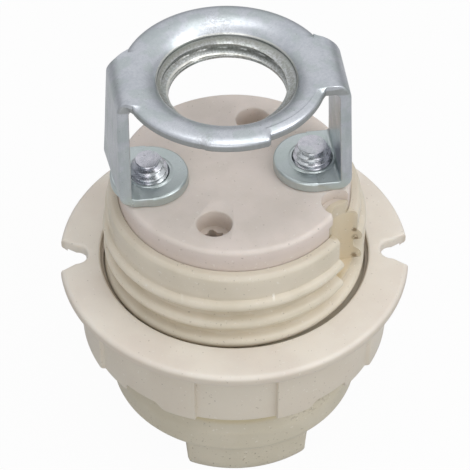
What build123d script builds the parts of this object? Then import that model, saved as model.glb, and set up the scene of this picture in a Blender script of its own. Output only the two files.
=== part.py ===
from build123d import *
import os
from math import cos, radians, sin

# Lamp holder for a two-pin capsule lamp, standing on its lamp nose with the bracket up.
# Millimetres. The origin is the middle of the nose's end face and +Z points to the wiring end.
# X runs across the bracket, from leg to leg, and Y along the row of lamp pins.

# Body moulding
core_radius = 9.7
nose_length = 3.1
nose_width = 10.0
nose_step = 0.6
nose_draft = 3.0
nose_edge = 0.4
shoulder_rise = 0.3
shoulder_height = 2.3
shoulder_edge = 0.7
shoulder_cone_height = 0.9
band_rise = 0.25
band_height = 1.5
lip_edge = 0.4

# Outer thread, for the shade ring
thread_pitch = 2.0
thread_depth = 0.7
thread_base_width = 1.5
thread_shoulder_width = 0.8
thread_crest_width = 0.4
thread_crest_chamfer = 0.18
thread_sink = 0.25
thread_relief = 2.0
thread_start_turn = 0.195

# Keyway down the side of the body, and the notch over it in the cap
keyway_angle = -31.5
keyway_width = 2.8
keyway_depth = 1.1
keyway_length = 5.2
cap_notch_reach = 1.6
cap_notch_depth = 1.0

# Lamp cavity, pin slots and contact chambers
cavity_depth = 11.0
cavity_end_wall = 2.1
cavity_waist_width = 6.0
cavity_end_width = 6.8
cavity_end_length = 4.2
cavity_corner = 0.8
cavity_roof = 1.2
pin_spacing = 9.0
pin_slot_half = 1.7
pin_slot_width = 2.6
chamber_width = 7.6
chamber_height = 8.6
chamber_ledge = 1.6
chamber_corner = 0.5

# Terminal cap
pocket_wall = 0.6
cap_clearance = 0.1
cap_thickness = 3.4
cap_seat_depth = 1.5
cap_edge = 0.35
cap_plug_depth = 0.9
cap_plug_clearance = 0.15
wire_hole_radius = 1.35
wire_hole_depth = 1.3
wire_hole_side_gap = 1.55
wire_hole_shift = 0.5
wire_hole_countersink = 0.25
conductor_radius = 0.7
conductor_shift = 0.4

# Shade ring
ring_top_height = 16.5
ring_turn = -6.5
ring_height = 7.5
ring_thread_clearance = 0.1
ring_wall = 1.3
ring_mouth_step = 0.4
ring_mouth_depth = 1.2
ring_mouth_edge = 0.3
flange_overhang = 2.2
flange_thickness = 1.6
flange_edge = 0.45
pad_rise = 0.35
side_rise = 0.3
recess_half_angle = 15.5
side_half_angle = 30.0
grip_wall_slant = 6.0
skirt_notch_depth = 0.6
skirt_notch_start = 33.0
skirt_notch_end = 46.0
notch_depth = 2.3
notch_mouth_width = 2.5
notch_root_width = 1.4
notch_corner = 0.5

# Mounting bracket
sheet = 0.9
bracket_height = 10.2
strip_width = 6.2
strip_top_width = 5.4
collar_bore_radius = 4.46
collar_depth = 2.4
mouth_inner_width = 1.2
mouth_inner_drop = 0.2
eyelet_flat = 0.74
eyelet_rim = 1.44
eyelet_edge = 0.2
top_bend_radius = 0.9
foot_bend_radius = 0.6
foot_overhang = 0.1
foot_lip_height = 0.25
foot_lip_width = 0.5
foot_thread_clearance = 0.03

# Screws
screw_radius = 1.5
screw_inset = 2.65
screw_length = 22.0
screw_reach = 1.0
screw_tip_chamfer = 0.45
screw_head_overhang = 1.0
screw_head_height = 1.9
screw_head_edge = 0.4
screw_slot_width = 0.8
screw_slot_depth = 0.9
screw_hole_clearance = 0.15
screw_recess_clearance = 0.1

# Contacts and clamp springs
contact_sheet = 0.4
contact_side_gap = 0.45
contact_flare = 1.15
contact_grip = 0.42
contact_back_gap = 0.95
contact_foot_gap = 0.4
contact_grip_rise = 2.0
contact_bend = 0.5
terminal_wall_gap = 0.1
terminal_height = 3.0
clamp_sheet = 0.25
clamp_width = 2.5
clamp_bend = 0.35
clamp_foot_reach = 2.0
clamp_head_gap = 0.25
clamp_tip_drop = 1.3
clamp_tip_gap = 0.1

# Heights that follow
shoulder_top = nose_length + shoulder_height
cone_top = shoulder_top + shoulder_cone_height
chamber_floor = cavity_depth + cavity_roof
chamber_top = chamber_floor + chamber_height
cap_seat = chamber_top + cap_plug_depth
cap_top = cap_seat + cap_thickness
body_height = cap_seat + cap_seat_depth
thread_top = body_height - band_height
thread_bottom = cone_top + thread_relief
ring_bottom = ring_top_height - ring_height
foot_top = cap_top + sheet
eyelet_top = cap_top + bracket_height
screw_tip = foot_top + screw_reach
screw_seat = screw_tip - screw_length
fork_low = chamber_floor + contact_foot_gap
fork_top = chamber_top - terminal_height

# Radii and places that follow
shoulder_radius = core_radius + shoulder_rise
nose_radius = shoulder_radius - nose_step
band_radius = core_radius + band_rise
thread_crest_radius = core_radius + thread_depth
keyway_floor_radius = core_radius - keyway_depth
pocket_radius = core_radius - pocket_wall
cap_radius = pocket_radius - cap_clearance
ring_bore_radius = thread_crest_radius + ring_thread_clearance
ring_mouth_radius = ring_bore_radius + ring_mouth_step
skirt_radius = ring_bore_radius + ring_wall
flange_radius = skirt_radius + flange_overhang
chamber_inner_edge = pin_spacing / 2 - pin_slot_half
chamber_outer_edge = pocket_radius - chamber_ledge
chamber_reach = chamber_outer_edge - chamber_inner_edge
chamber_middle = (chamber_inner_edge + chamber_outer_edge) / 2
wire_hole_x = chamber_width / 2 - wire_hole_side_gap
wire_hole_y = chamber_middle + wire_hole_shift
conductor_y = wire_hole_y - conductor_shift
screw_x = cap_radius - screw_inset
screw_head_radius = screw_radius + screw_head_overhang
mouth_radius = collar_bore_radius + sheet + mouth_inner_width
eyelet_radius = mouth_radius + eyelet_rim
bend_start = mouth_radius + eyelet_flat
leg_outside = bend_start + top_bend_radius + sheet
foot_outside = cap_radius + foot_overhang
foot_end_radius = strip_width / 2

# How far cutting shapes run past what they cut, and how closely edges are picked out
overrun = 1.0
far = 4 * flange_radius
pick = 0.05

SIDES = {"left": -1, "right": 1}
ENDS = {"front": 0, "back": 180}


def upright(sketch):
    """Turn a sketch drawn in X and Y so that its Y is height."""
    return Plane.XZ * sketch


def column(sketch, low, high):
    """Extrude a plan sketch from one height to another."""
    return Pos(0, 0, low) * extrude(sketch, high - low)


def turned(points):
    """Revolve an outline, given as radius and height, about the axis."""
    return revolve(upright(make_face(Polyline(*points, close=True))), Axis.Z)


def strip_section(points, bend, thickness):
    """Section of a bent strip whose middle line has the given corners."""
    line = FilletPolyline(*points, radius=bend)
    return trace(line, thickness)


def across(section, width, middle):
    """Give a section, drawn in X and height, its width along Y about a middle plane."""
    return Pos(0, middle + width / 2, 0) * extrude(upright(section), width)


# Threaded body

def thread_ridge():
    """One helical ridge with a chamfered crest, trimmed to the thread's length."""
    turns = int((thread_top - thread_bottom) / thread_pitch) + 2
    start = thread_top - (turns + thread_start_turn) * thread_pitch
    path = Helix(thread_pitch, (turns + 1) * thread_pitch, core_radius, center=(0, 0, start))
    half_section = [
        (thread_crest_radius, thread_crest_width / 2),
        (thread_crest_radius - thread_crest_chamfer, thread_shoulder_width / 2),
        (core_radius - thread_sink, thread_base_width / 2),
    ]
    upper = [(radius, start + rise) for radius, rise in half_section]
    lower = [(radius, start - rise) for radius, rise in reversed(half_section)]
    section = upright(make_face(Polyline(*upper, *lower, close=True)))
    ridge = sweep(section, path=path, is_frenet=True)
    outside = thread_crest_radius + overrun
    envelope = turned([
        (0, thread_bottom),
        (core_radius, thread_bottom),
        (outside, thread_bottom + outside - core_radius),
        (outside, thread_top),
        (0, thread_top),
    ])
    return ridge & envelope


def body_outside():
    """Shoulder, relief, thread core, plain band and rounded lip, with the nose below."""
    shell = turned([
        (0, nose_length),
        (shoulder_radius, nose_length),
        (shoulder_radius, shoulder_top),
        (core_radius, cone_top),
        (core_radius, thread_top),
        (band_radius, thread_top),
        (band_radius, body_height),
        (0, body_height),
    ])
    rims = shell.edges().filter_by(GeomType.CIRCLE)
    shell = fillet(rims.filter_by_position(Axis.Z, nose_length, nose_length), shoulder_edge)
    rims = shell.edges().filter_by(GeomType.CIRCLE)
    shell = fillet(rims.filter_by_position(Axis.Z, body_height, body_height), lip_edge)
    plan = Circle(nose_radius) & Rectangle(nose_width, far)
    nose = extrude(Pos(0, 0, nose_length) * plan, nose_length, dir=(0, 0, -1), taper=nose_draft)
    nose = fillet(nose.faces().sort_by(Axis.Z)[0].edges(), nose_edge)
    root = column(plan, nose_length, shoulder_top)
    return shell + nose + root


def keyway(low, high, floor_radius):
    """Cutter for the keyway: a round-bottomed slot from the outside in to the floor radius."""
    half = keyway_width / 2
    middle = floor_radius + half
    plan = Pos((middle + flange_radius) / 2, 0) * Rectangle(flange_radius - middle, keyway_width)
    plan += Pos(middle, 0) * Circle(half)
    return Rot(0, 0, keyway_angle) * column(plan, low, high)


def lamp_cavity():
    """Dog-bone cavity for the lamp's base: narrow between the screw recesses, wider at the pins."""
    half_length = core_radius - cavity_end_wall
    plan = Rectangle(cavity_waist_width, 2 * half_length)
    end_middle = half_length - cavity_end_length / 2
    for side in (-1, 1):
        plan += Pos(0, side * end_middle) * Rectangle(cavity_end_width, cavity_end_length)
    corners = plan.vertices().group_by(Axis.Y)
    plan = fillet(corners[0] + corners[-1], cavity_corner)
    return column(plan, -overrun, cavity_depth)


def chamber_plan(clearance=0.0):
    """Plan of the two contact chambers, made smaller by a clearance."""
    cell = RectangleRounded(chamber_width - 2 * clearance, chamber_reach - 2 * clearance, chamber_corner)
    return Pos(0, chamber_middle) * cell + Pos(0, -chamber_middle) * cell


def pin_slots():
    """Slots through the cavity's roof for the two lamp pins."""
    slot = RectangleRounded(pin_slot_width, 2 * pin_slot_half, chamber_corner)
    plan = Pos(0, pin_spacing / 2) * slot + Pos(0, -pin_spacing / 2) * slot
    return column(plan, cavity_depth - overrun, chamber_floor + overrun)


def screw_bores(low, high, radius):
    """Two round cutters on the screws' axes."""
    bores = [Pos(side * screw_x, 0) * Circle(radius) for side in SIDES.values()]
    return column(Sketch() + bores, low, high)


def make_threaded_body():
    body = body_outside() + thread_ridge()
    body -= column(Circle(pocket_radius), cap_seat, body_height + overrun)
    body -= keyway(body_height - keyway_length, body_height + overrun, keyway_floor_radius)
    body -= lamp_cavity()
    body -= pin_slots()
    body -= column(chamber_plan(), chamber_floor, body_height)
    body -= screw_bores(-overrun, body_height + overrun, screw_radius + screw_hole_clearance)
    body -= screw_bores(-overrun, screw_seat, screw_head_radius + screw_recess_clearance)
    return body


# Terminal cap

def wire_hole():
    """Cutter for the front wire hole: countersunk mouth, stepped down to the conductor's size."""
    rim = Pos(0, 0, cap_top - wire_hole_countersink / 2) * Cone(
        wire_hole_radius, wire_hole_radius + wire_hole_countersink, wire_hole_countersink
    )
    mouth = column(Circle(wire_hole_radius), cap_top - wire_hole_depth, cap_top + overrun)
    conductor = column(Circle(conductor_radius), chamber_top - overrun, cap_top)
    return Pos(-wire_hole_x, -wire_hole_y) * (mouth + rim) + Pos(-wire_hole_x, -conductor_y) * conductor


def make_terminal_cap():
    disc = column(Circle(cap_radius), cap_seat, cap_top)
    disc = fillet(disc.edges().sort_by(Axis.Z)[-1], cap_edge)
    cap = disc + column(chamber_plan(cap_plug_clearance), chamber_top, cap_seat)
    for turn in ENDS.values():
        cap -= Rot(0, 0, turn) * wire_hole()
    cap -= screw_bores(cap_seat - overrun, cap_top + overrun, screw_radius + screw_hole_clearance)
    cap -= keyway(cap_top - cap_notch_depth, cap_top + overrun, cap_radius - cap_notch_reach)
    cap -= keyway(cap_seat - overrun, cap_top + overrun, keyway_floor_radius)
    return cap


# Shade ring

def sector(radius, start, end):
    """Plan of a sector between two angles from the ring's front, anticlockwise from above."""
    low = start - 90
    high = end - 90
    middle = (low + high) / 2
    corners = [(0, 0)]
    for angle in (low, middle, high):
        corners.append((far * cos(radians(angle)), far * sin(radians(angle))))
    return Circle(radius) & make_face(Polyline(*corners, close=True))


def grip_plan():
    """Skirt outline: plain at front and back, proud pads beside, prouder still at the two sides."""
    pad_radius = skirt_radius + pad_rise
    side_radius = pad_radius + side_rise
    plan = Circle(skirt_radius)
    for turn in (0, 180):
        for side in (-1, 1):
            edges = sorted([side * recess_half_angle, side * (90 + grip_wall_slant)])
            plan += Rot(0, 0, turn) * sector(pad_radius, *edges)
    for middle in (90, -90):
        plan += sector(side_radius, middle - side_half_angle, middle + side_half_angle)
    return plan


def ring_notch():
    """Plan of one U notch in the flange on the +X side."""
    root = flange_radius - notch_depth
    outline = Polyline(
        (root, -notch_root_width / 2),
        (root, notch_root_width / 2),
        (flange_radius, notch_mouth_width / 2),
        (far, notch_mouth_width / 2),
        (far, -notch_mouth_width / 2),
        (flange_radius, -notch_mouth_width / 2),
        close=True,
    )
    plan = make_face(outline)
    return fillet(plan.vertices().group_by(Axis.X)[0], notch_corner)


def make_shade_ring():
    flange_bottom = ring_top_height - flange_thickness
    notches = ring_notch() + Rot(0, 0, 180) * ring_notch()
    flange_plan = Circle(flange_radius) - notches
    mouths = flange_plan.vertices().filter_by(lambda v: v.center().length > flange_radius - pick)
    flange_plan = fillet(mouths, notch_corner)
    flange = column(flange_plan, flange_bottom, ring_top_height)
    outer = flange.edges().filter_by(GeomType.CIRCLE).filter_by(
        lambda e: e.radius > flange_radius - pick and e.center().Z > ring_top_height - pick
    )
    flange = fillet(outer, flange_edge)
    skirt = column(grip_plan() - notches, ring_bottom, flange_bottom)
    for turn in (0, 180):
        for side in (-1, 1):
            edges = sorted([side * skirt_notch_start, side * skirt_notch_end])
            gap = Rot(0, 0, turn) * sector(flange_radius, *edges)
            skirt -= column(gap, ring_bottom - overrun, ring_bottom + skirt_notch_depth)
    ring = flange + skirt
    ring -= column(Circle(ring_bore_radius), ring_bottom - overrun, ring_top_height + overrun)
    ring -= column(Circle(ring_mouth_radius), ring_top_height - ring_mouth_depth, ring_top_height + overrun)
    mouth = ring.edges().filter_by(GeomType.CIRCLE).filter_by(
        lambda e: abs(e.radius - ring_mouth_radius) < pick and e.center().Z > ring_top_height - pick
    )
    ring = fillet(mouth, ring_mouth_edge)
    return Rot(0, 0, ring_turn) * ring


# Mounting bracket

def bracket_eyelet():
    """Eyelet plate, cut straight where the legs bend away, and the collar drawn down out of it."""
    collar_outside = collar_bore_radius + sheet
    mouth_bottom = eyelet_top - sheet - mouth_inner_drop
    underside = eyelet_top - sheet
    collar_end = eyelet_top - collar_depth
    plate_plan = Circle(eyelet_radius) & Rectangle(2 * bend_start, far)
    plate = column(plate_plan - Circle(mouth_radius), underside, eyelet_top)
    rim = plate.edges().filter_by(GeomType.CIRCLE).filter_by(lambda e: e.radius > mouth_radius + pick)
    plate = fillet(rim, eyelet_edge)
    crown = (mouth_radius, mouth_bottom)
    face = EllipticalCenterArc(
        crown, mouth_inner_width + sheet, mouth_inner_drop + sheet, start_angle=90, arc_size=90
    )
    back = EllipticalCenterArc(crown, mouth_inner_width, mouth_inner_drop, start_angle=90, arc_size=90)
    outline = [
        Line((mouth_radius, underside), (mouth_radius, eyelet_top)),
        face,
        Line((collar_bore_radius, mouth_bottom), (collar_bore_radius, collar_end)),
        Line((collar_bore_radius, collar_end), (collar_outside, collar_end)),
        Line((collar_outside, collar_end), (collar_outside, mouth_bottom)),
        back,
    ]
    collar = revolve(upright(make_face(outline)), Axis.Z)
    return plate + collar


def bracket_leg():
    """One leg on the +X side: bend from the eyelet, leg, bend to the foot and the foot's round end."""
    half = sheet / 2
    points = [
        (bend_start - eyelet_flat / 2, eyelet_top - half),
        (leg_outside - half, eyelet_top - half),
        (foot_outside - half, cap_top + half),
        (screw_x - foot_end_radius, cap_top + half),
    ]
    radii = (top_bend_radius + half, foot_bend_radius + half)
    strip = across(strip_section(points, radii, sheet), strip_width, 0)
    foot_plan = Pos((screw_x + far) / 2, 0) * Rectangle(far - screw_x, strip_width)
    foot_plan += Pos(screw_x, 0) * Circle(foot_end_radius)
    strip &= column(foot_plan, cap_top - overrun, eyelet_top + overrun)
    taper = make_face(Polyline(
        (-strip_width / 2, cap_top),
        (strip_width / 2, cap_top),
        (strip_width / 2, foot_top),
        (strip_top_width / 2, eyelet_top),
        (-strip_top_width / 2, eyelet_top),
        (-strip_width / 2, foot_top),
        close=True,
    ))
    strip &= extrude(Plane.YZ * taper, far)
    lip = Pos(screw_x, 0, foot_top + foot_lip_height / 2) * Cone(
        screw_radius + foot_lip_width + foot_lip_height, screw_radius + foot_lip_width, foot_lip_height
    )
    return strip + lip


def make_mounting_bracket():
    leg = bracket_leg()
    bracket = bracket_eyelet() + leg + Rot(0, 0, 180) * leg
    bracket -= screw_bores(cap_top - overrun, screw_tip, screw_radius + foot_thread_clearance)
    return bracket


# Screws

def make_screw(side):
    """Cheese-head screw, head on the lamp side and chamfered tip at the bracket."""
    head_end = screw_seat - screw_head_height
    screw = turned([
        (0, head_end),
        (screw_head_radius - screw_head_edge, head_end),
        (screw_head_radius, head_end + screw_head_edge),
        (screw_head_radius, screw_seat),
        (screw_radius, screw_seat),
        (screw_radius, screw_tip - screw_tip_chamfer),
        (screw_radius - screw_tip_chamfer, screw_tip),
        (0, screw_tip),
    ])
    screw -= column(Rectangle(far, screw_slot_width), head_end - overrun, head_end + screw_slot_depth)
    return Pos(side * screw_x, 0) * screw


# Contacts and clamp springs, drawn for the front chamber and turned for the back one

def make_contact(turn):
    """Sprung fork for one lamp pin, and the terminal plate that stands under the wire hole."""
    waist = fork_low + contact_grip_rise
    fork = strip_section(
        [
            (contact_flare, fork_low),
            (contact_grip, waist),
            (contact_back_gap, fork_top),
            (-contact_back_gap, fork_top),
            (-contact_grip, waist),
            (-contact_flare, fork_low),
        ],
        contact_bend,
        contact_sheet,
    )
    wall = chamber_width / 2 - terminal_wall_gap - contact_sheet / 2
    terminal = strip_section([(0, fork_top), (-wall, fork_top), (-wall, chamber_top)], contact_bend, contact_sheet)
    width = chamber_reach - 2 * contact_side_gap
    contact = across(fork, width, -chamber_middle) + across(terminal, width, -chamber_middle)
    return Rot(0, 0, turn) * contact


def make_clamp_spring(turn):
    """Bent leaf that stands on the terminal and presses a wire against the terminal plate."""
    foot = fork_top + contact_sheet / 2 + clamp_sheet / 2
    head = chamber_top - clamp_head_gap - clamp_sheet / 2
    post = -wire_hole_x + wire_hole_radius + clamp_sheet
    plate_face = chamber_width / 2 - terminal_wall_gap - contact_sheet
    tip = clamp_tip_gap + clamp_sheet / 2 - plate_face
    leaf = strip_section(
        [(post - clamp_foot_reach, foot), (post, foot), (post, head), (tip, head - clamp_tip_drop)],
        clamp_bend,
        clamp_sheet,
    )
    return Rot(0, 0, turn) * across(leaf, clamp_width, -conductor_y)


def build():
    """Every piece under its node's name."""
    pieces = {
        "threaded_body": make_threaded_body(),
        "terminal_cap": make_terminal_cap(),
        "shade_ring": make_shade_ring(),
        "mounting_bracket": make_mounting_bracket(),
    }
    for name, side in SIDES.items():
        pieces["screw_" + name] = make_screw(side)
    for name, turn in ENDS.items():
        pieces["contact_" + name] = make_contact(turn)
        pieces["clamp_spring_" + name] = make_clamp_spring(turn)
    return pieces


os.makedirs("parts", exist_ok=True)
for node, shape in build().items():
    export_step(shape, "parts/" + node + ".step")
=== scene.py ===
import bpy
from math import acos, asin, ceil, cos, degrees, pi, radians, sin, sqrt, tan
from mathutils import Matrix, Vector


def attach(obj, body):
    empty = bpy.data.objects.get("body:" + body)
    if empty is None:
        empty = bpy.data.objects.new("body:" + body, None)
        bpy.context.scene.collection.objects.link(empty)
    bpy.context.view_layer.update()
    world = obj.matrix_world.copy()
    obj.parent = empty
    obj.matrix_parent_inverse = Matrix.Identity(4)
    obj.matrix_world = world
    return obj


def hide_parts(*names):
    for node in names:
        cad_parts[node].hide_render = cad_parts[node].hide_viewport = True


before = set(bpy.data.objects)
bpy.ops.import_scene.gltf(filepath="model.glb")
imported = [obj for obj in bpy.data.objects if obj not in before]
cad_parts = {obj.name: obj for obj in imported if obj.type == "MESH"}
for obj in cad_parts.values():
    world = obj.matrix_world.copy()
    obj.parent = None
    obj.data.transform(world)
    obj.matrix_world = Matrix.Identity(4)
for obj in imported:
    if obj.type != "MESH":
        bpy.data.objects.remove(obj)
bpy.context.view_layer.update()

# The pieces are drawn in millimetres, in the same frame as the CAD, and brought to metres at the end.
MM = 0.001

# Camera, fitted to the photograph
CAMERA_LENS = 169.9
CAMERA_DISTANCE = 177.05
CAMERA_ELEVATION = 44.9
CAMERA_AZIMUTH = -7.5
CAMERA_ROLL = 0.08
CAMERA_SIDE_SHIFT = 0.07
CAMERA_AIM_HEIGHT = 17.98

# Heights, from the nose's end up
NOSE_TOP = 3.1
SHOULDER_TOP = 5.4
CONE_TOP = 6.3
THREAD_BOTTOM = 8.3
THREAD_TOP = 21.7
BODY_TOP = 23.2
CAP_SEAT = 21.7
CAP_TOP = 25.1
FOOT_TOP = 26.0
SCREW_TIP = 27.35
EYELET_TOP = 35.3

# Body
CORE_R = 9.7
CREST_R = 10.4
BAND_R = 9.95
SHOULDER_R = 10.2
NOSE_R = 9.75
NOSE_HALF_WIDTH = 5.0
NOSE_DRAFT = 3.0
NOSE_EDGE = 0.7
SHOULDER_EDGE = 0.7
LIP_EDGE = 0.42
LIP_INNER_EDGE = 0.06
POCKET_R = 9.1
PITCH = 2.0
CREST_AT_ZERO = THREAD_TOP - 0.42 * PITCH
CREST_FALL = 0.18
CREST_HALF = 0.4
FLANK_SLOPE = 2.2
GAP_FLOOR_TOP = 15.7
GAP_FLOOR_BOTTOM = 14.8
GAP_FLOOR_R = CREST_R + 0.06
KEYWAY_ANGLE = -33.0
KEYWAY_HALF = 1.75
KEYWAY_FLOOR = 8.3
KEYWAY_BOTTOM = 18.0
KEYWAY_RIB_TOP = 24.13
CAP_NOTCH_ANGLE = -31.5
CAP_NOTCH_HALF = 1.4
CAP_NOTCH_FLOOR = 7.4
CAP_NOTCH_DEPTH = 1.0

# Cap
CAP_R = 9.08
WIRE_HOLE = (-2.25, -5.65)
WIRE_HOLE_R = 1.36
WIRE_HOLE_FLOOR = 23.5
CONDUCTOR_Y = -5.25
CONDUCTOR_R = 0.7
CHAMBER_Y = 5.15

# Screws
SCREW_X = 6.35
SCREW_R = 1.5
SCREW_SEAT = 5.0
SCREW_HEAD_R = 2.5
SCREW_HEAD_HEIGHT = 1.9
SCREW_PITCH = 0.5
SCREW_HOLE_R = 1.65
SCREW_RECESS_R = 2.6
SCREW_SLOT_HALF = 0.4

# Shade ring
RING_TURN = -6.5
RING_TOP = 16.5
RING_BOTTOM = 9.0
FLANGE_R = 14.0
FLANGE_BOTTOM = 14.9
SKIRT_R = 11.8
PAD_R = 12.15
SIDE_R = 12.45
RING_BORE_R = 10.5
RING_MOUTH_R = 10.74
RING_STEP = 15.9
FLANGE_UNDER_EDGE = 15.5
FLANGE_EDGE = 0.42
NOTCH_ROOT = FLANGE_R - 2.25
NOTCH_ROOT_HALF = 1.0
NOTCH_MOUTH_HALF = 1.6
NOTCH_CORNER = 0.95
RECESS_R = 11.9
RECESS_REACH = 13.5
RECESS_TOP = 15.62

# Bracket
SHEET = 0.9
BORE_R = 4.46
COLLAR_END = 32.65
BORE_WALL_R = 4.98
COLLAR_DROP = 1.75
MOUTH_R = 6.95
EYELET_R = 7.95
BEND_START = 7.3
FOOT_BEND_R = 0.25
STRIP_TOP_HALF = 2.7
STRIP_HALF = 3.04
M10_PITCH = 1.0
M10_LAST_CREST = 34.1
FOOT_HOLE_R = 1.56
LEAN_FOOT = 0.27
LEAN_RISE = 0.03
LEAN_FRONT = 0.3
EYELET_SHIFT = LEAN_FOOT + 10 * LEAN_RISE

# Its two legs, right and left: where the outer face stands, and the top bend's inner radius
LEG_OUTSIDE = {1: 9.0, -1: 8.5}
LEG_BEND_R = {1: 0.6, -1: 0.3}

# Small marks seen in the photograph: place, and the two distances between which each fades
KEYWAY_NICKS = (
    ((9.15, -3.7, 20.35), 0.15, 0.5),
    ((9.1, -3.7, 18.4), 0.15, 0.45),
    ((8.95, -3.8, 21.2), 0.1, 0.3),
)
THREAD_SPECKS = (
    ((-8.37, -5.82, 17.56), 0.05, 0.14),
    ((-5.69, -8.46, 17.84), 0.06, 0.15),
    ((-4.31, -9.24, 17.92), 0.06, 0.16),
    ((2.58, -9.87, 17.97), 0.05, 0.14),
)
SHOULDER_SCUFF = ((5.3, -8.9, 6.0), 0.6, 3.4)
FLANGE_NICK = ((-7.67, -12.21, 16.2), 0.1, 0.5)
MOUTH_SCUFF = ((-0.6, 5.5, 34.8), 0.5, 2.1)
STUB_SCUFF = ((-3.1, -7.3, 35.1), 0.2, 1.2)

# Upright pale ticks under the lip: place, the two distances, and the two half widths
WIDE_TICK = ((1.73, -9.8, 20.85), 0.12, 0.5, 0.05, 0.13)
FAINT_TICK = ((-5.12, -8.53, 20.3), 0.15, 0.6, 0.04, 0.12)


def smooth(low, high, value):
    """Smooth step from 0 below the low value to 1 above the high one."""
    share = min(1.0, max(0.0, (value - low) / (high - low)))
    return share * share * (3 - 2 * share)


def blend(a, b, share):
    return a + (b - a) * share


def larger(a, b, ease):
    """The larger of two values, with the corner between them eased."""
    return (a + b + sqrt((a - b) ** 2 + ease * ease)) / 2


def smaller(a, b, ease):
    return (a + b - sqrt((a - b) ** 2 + ease * ease)) / 2


def spread(low, high, count):
    """Evenly spaced values from low to high, both included."""
    return [low + (high - low) * i / (count - 1) for i in range(count)]


def arc(middle, radius, start, end, count):
    """Points (radius, height) on an arc, by angles in degrees from the outward direction."""
    return [
        (middle[0] + radius * cos(radians(a)), middle[1] + radius * sin(radians(a)))
        for a in spread(start, end, count)
    ]


def angles_with(step, *fine):
    """Angles round a turn, in degrees, closer together inside the given (middle, half, step) stretches."""
    found = set()
    coarse = [i * step for i in range(ceil(360 / step))]
    for a in coarse:
        if all(abs((a - middle + 180) % 360 - 180) > half + 0.3 * step for middle, half, _ in fine):
            found.add(round(a % 360, 4))
    for middle, half, close in fine:
        for a in spread(middle - half, middle + half, 2 * ceil(half / close) + 1):
            found.add(round(a % 360, 4))
    return sorted(found)


# Mesh tools

def made(name, points, faces):
    mesh = bpy.data.meshes.new(name)
    mesh.from_pydata(points, [], faces)
    mesh.update()
    piece = bpy.data.objects.new(name, mesh)
    bpy.context.collection.objects.link(piece)
    return piece


def polar(radius, angle):
    """Point of a plan at a radius and an angle in degrees."""
    return radius * cos(radians(angle)), radius * sin(radians(angle))


def anticlockwise(outline):
    """A closed outline, turned round if it runs clockwise."""
    area = sum(a[0] * b[1] - b[0] * a[1] for a, b in zip(outline, outline[1:] + outline[:1]))
    return outline[::-1] if area < 0 else outline


def skin(name, rings, ends="capped"):
    """Joins closed rings of equally many points into a surface: capped, looped or open at its ends."""
    count = len(rings[0])
    points = [p for ring in rings for p in ring]
    faces = []
    last = len(rings) if ends == "looped" else len(rings) - 1
    for i in range(last):
        low = i * count
        high = ((i + 1) % len(rings)) * count
        for j in range(count):
            k = (j + 1) % count
            faces.append((low + j, low + k, high + k, high + j))
    if ends == "capped":
        faces.append(tuple(reversed(range(count))))
        faces.append(tuple(range(len(points) - count, len(points))))
    return made(name, points, faces)


def turned(name, profile, steps, ends="capped", middle=(0, 0)):
    """Turns a profile of (radius, height) points about a vertical axis."""
    turns = [2 * pi * i / steps for i in range(steps)]
    rings = [[(middle[0] + r * cos(t), middle[1] + r * sin(t), z) for t in turns] for r, z in profile]
    return skin(name, rings, ends)


def prism(name, outline, low, high):
    """Upright prism on an outline, whichever way round the outline runs."""
    outline = anticlockwise(outline)
    return skin(name, [[(x, y, z) for x, y in outline] for z in (low, high)])


def swept(name, columns, sections, ends="capped"):
    """Joins sections of (radius, height) points, one for each angle in degrees, into a surface."""
    rings = [
        [(*polar(r, a), z) for a, (r, z) in zip(columns, row)]
        for row in zip(*sections)
    ]
    return skin(name, rings, ends)


def rounded_box(half_x, half_y, corner, middle=(0, 0)):
    """Outline of a rectangle with round corners."""
    points = []
    for sx, sy, start in ((1, 1, 0), (-1, 1, 90), (-1, -1, 180), (1, -1, 270)):
        for a in spread(start, start + 90, 7):
            points.append((
                middle[0] + sx * (half_x - corner) + corner * cos(radians(a)),
                middle[1] + sy * (half_y - corner) + corner * sin(radians(a)),
            ))
    return points


def baked(piece):
    """Replaces a piece's mesh by what its modifiers make of it."""
    graph = bpy.context.evaluated_depsgraph_get()
    mesh = bpy.data.meshes.new_from_object(piece.evaluated_get(graph))
    piece.modifiers.clear()
    old = piece.data
    piece.data = mesh
    bpy.data.meshes.remove(old)


def combined(piece, others, operation):
    """Cuts the others out of a piece, or joins them to it, and removes them."""
    for other in others:
        step = piece.modifiers.new("join", "BOOLEAN")
        step.operation = operation
        step.solver = "EXACT"
        step.object = other
        baked(piece)
        bpy.data.objects.remove(other)
    return piece


def fitted(piece, finish, body, node, sharp):
    """Shades a piece, gives it its finish, brings it to metres and seats it in its node's place."""
    mesh = piece.data
    mesh.transform(Matrix.Scale(MM, 4))
    mesh.shade_smooth()
    mesh.set_sharp_from_angle(angle=radians(sharp))
    mesh.materials.clear()
    mesh.materials.append(finish)
    weigh = piece.modifiers.new("even", "WEIGHTED_NORMAL")
    weigh.keep_sharp = True
    baked(piece)
    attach(piece, body)
    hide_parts(node)


# Shader sums

class Field:
    """A value that varies over a surface. Sums on it add Math nodes to its finish."""

    def __init__(self, finish, socket):
        self.finish = finish
        self.socket = socket

    def math(self, operation, a, b=0.0):
        return self.finish.node("ShaderNodeMath", {"operation": operation}, {0: a, 1: b})

    def __add__(self, other):
        return self.math("ADD", self, other)

    __radd__ = __add__

    def __sub__(self, other):
        return self.math("SUBTRACT", self, other)

    def __rsub__(self, other):
        return self.math("SUBTRACT", other, self)

    def __mul__(self, other):
        return self.math("MULTIPLY", self, other)

    __rmul__ = __mul__

    def __pow__(self, other):
        return self.math("POWER", self, other)

    def __abs__(self):
        return self.math("ABSOLUTE", self)


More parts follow.
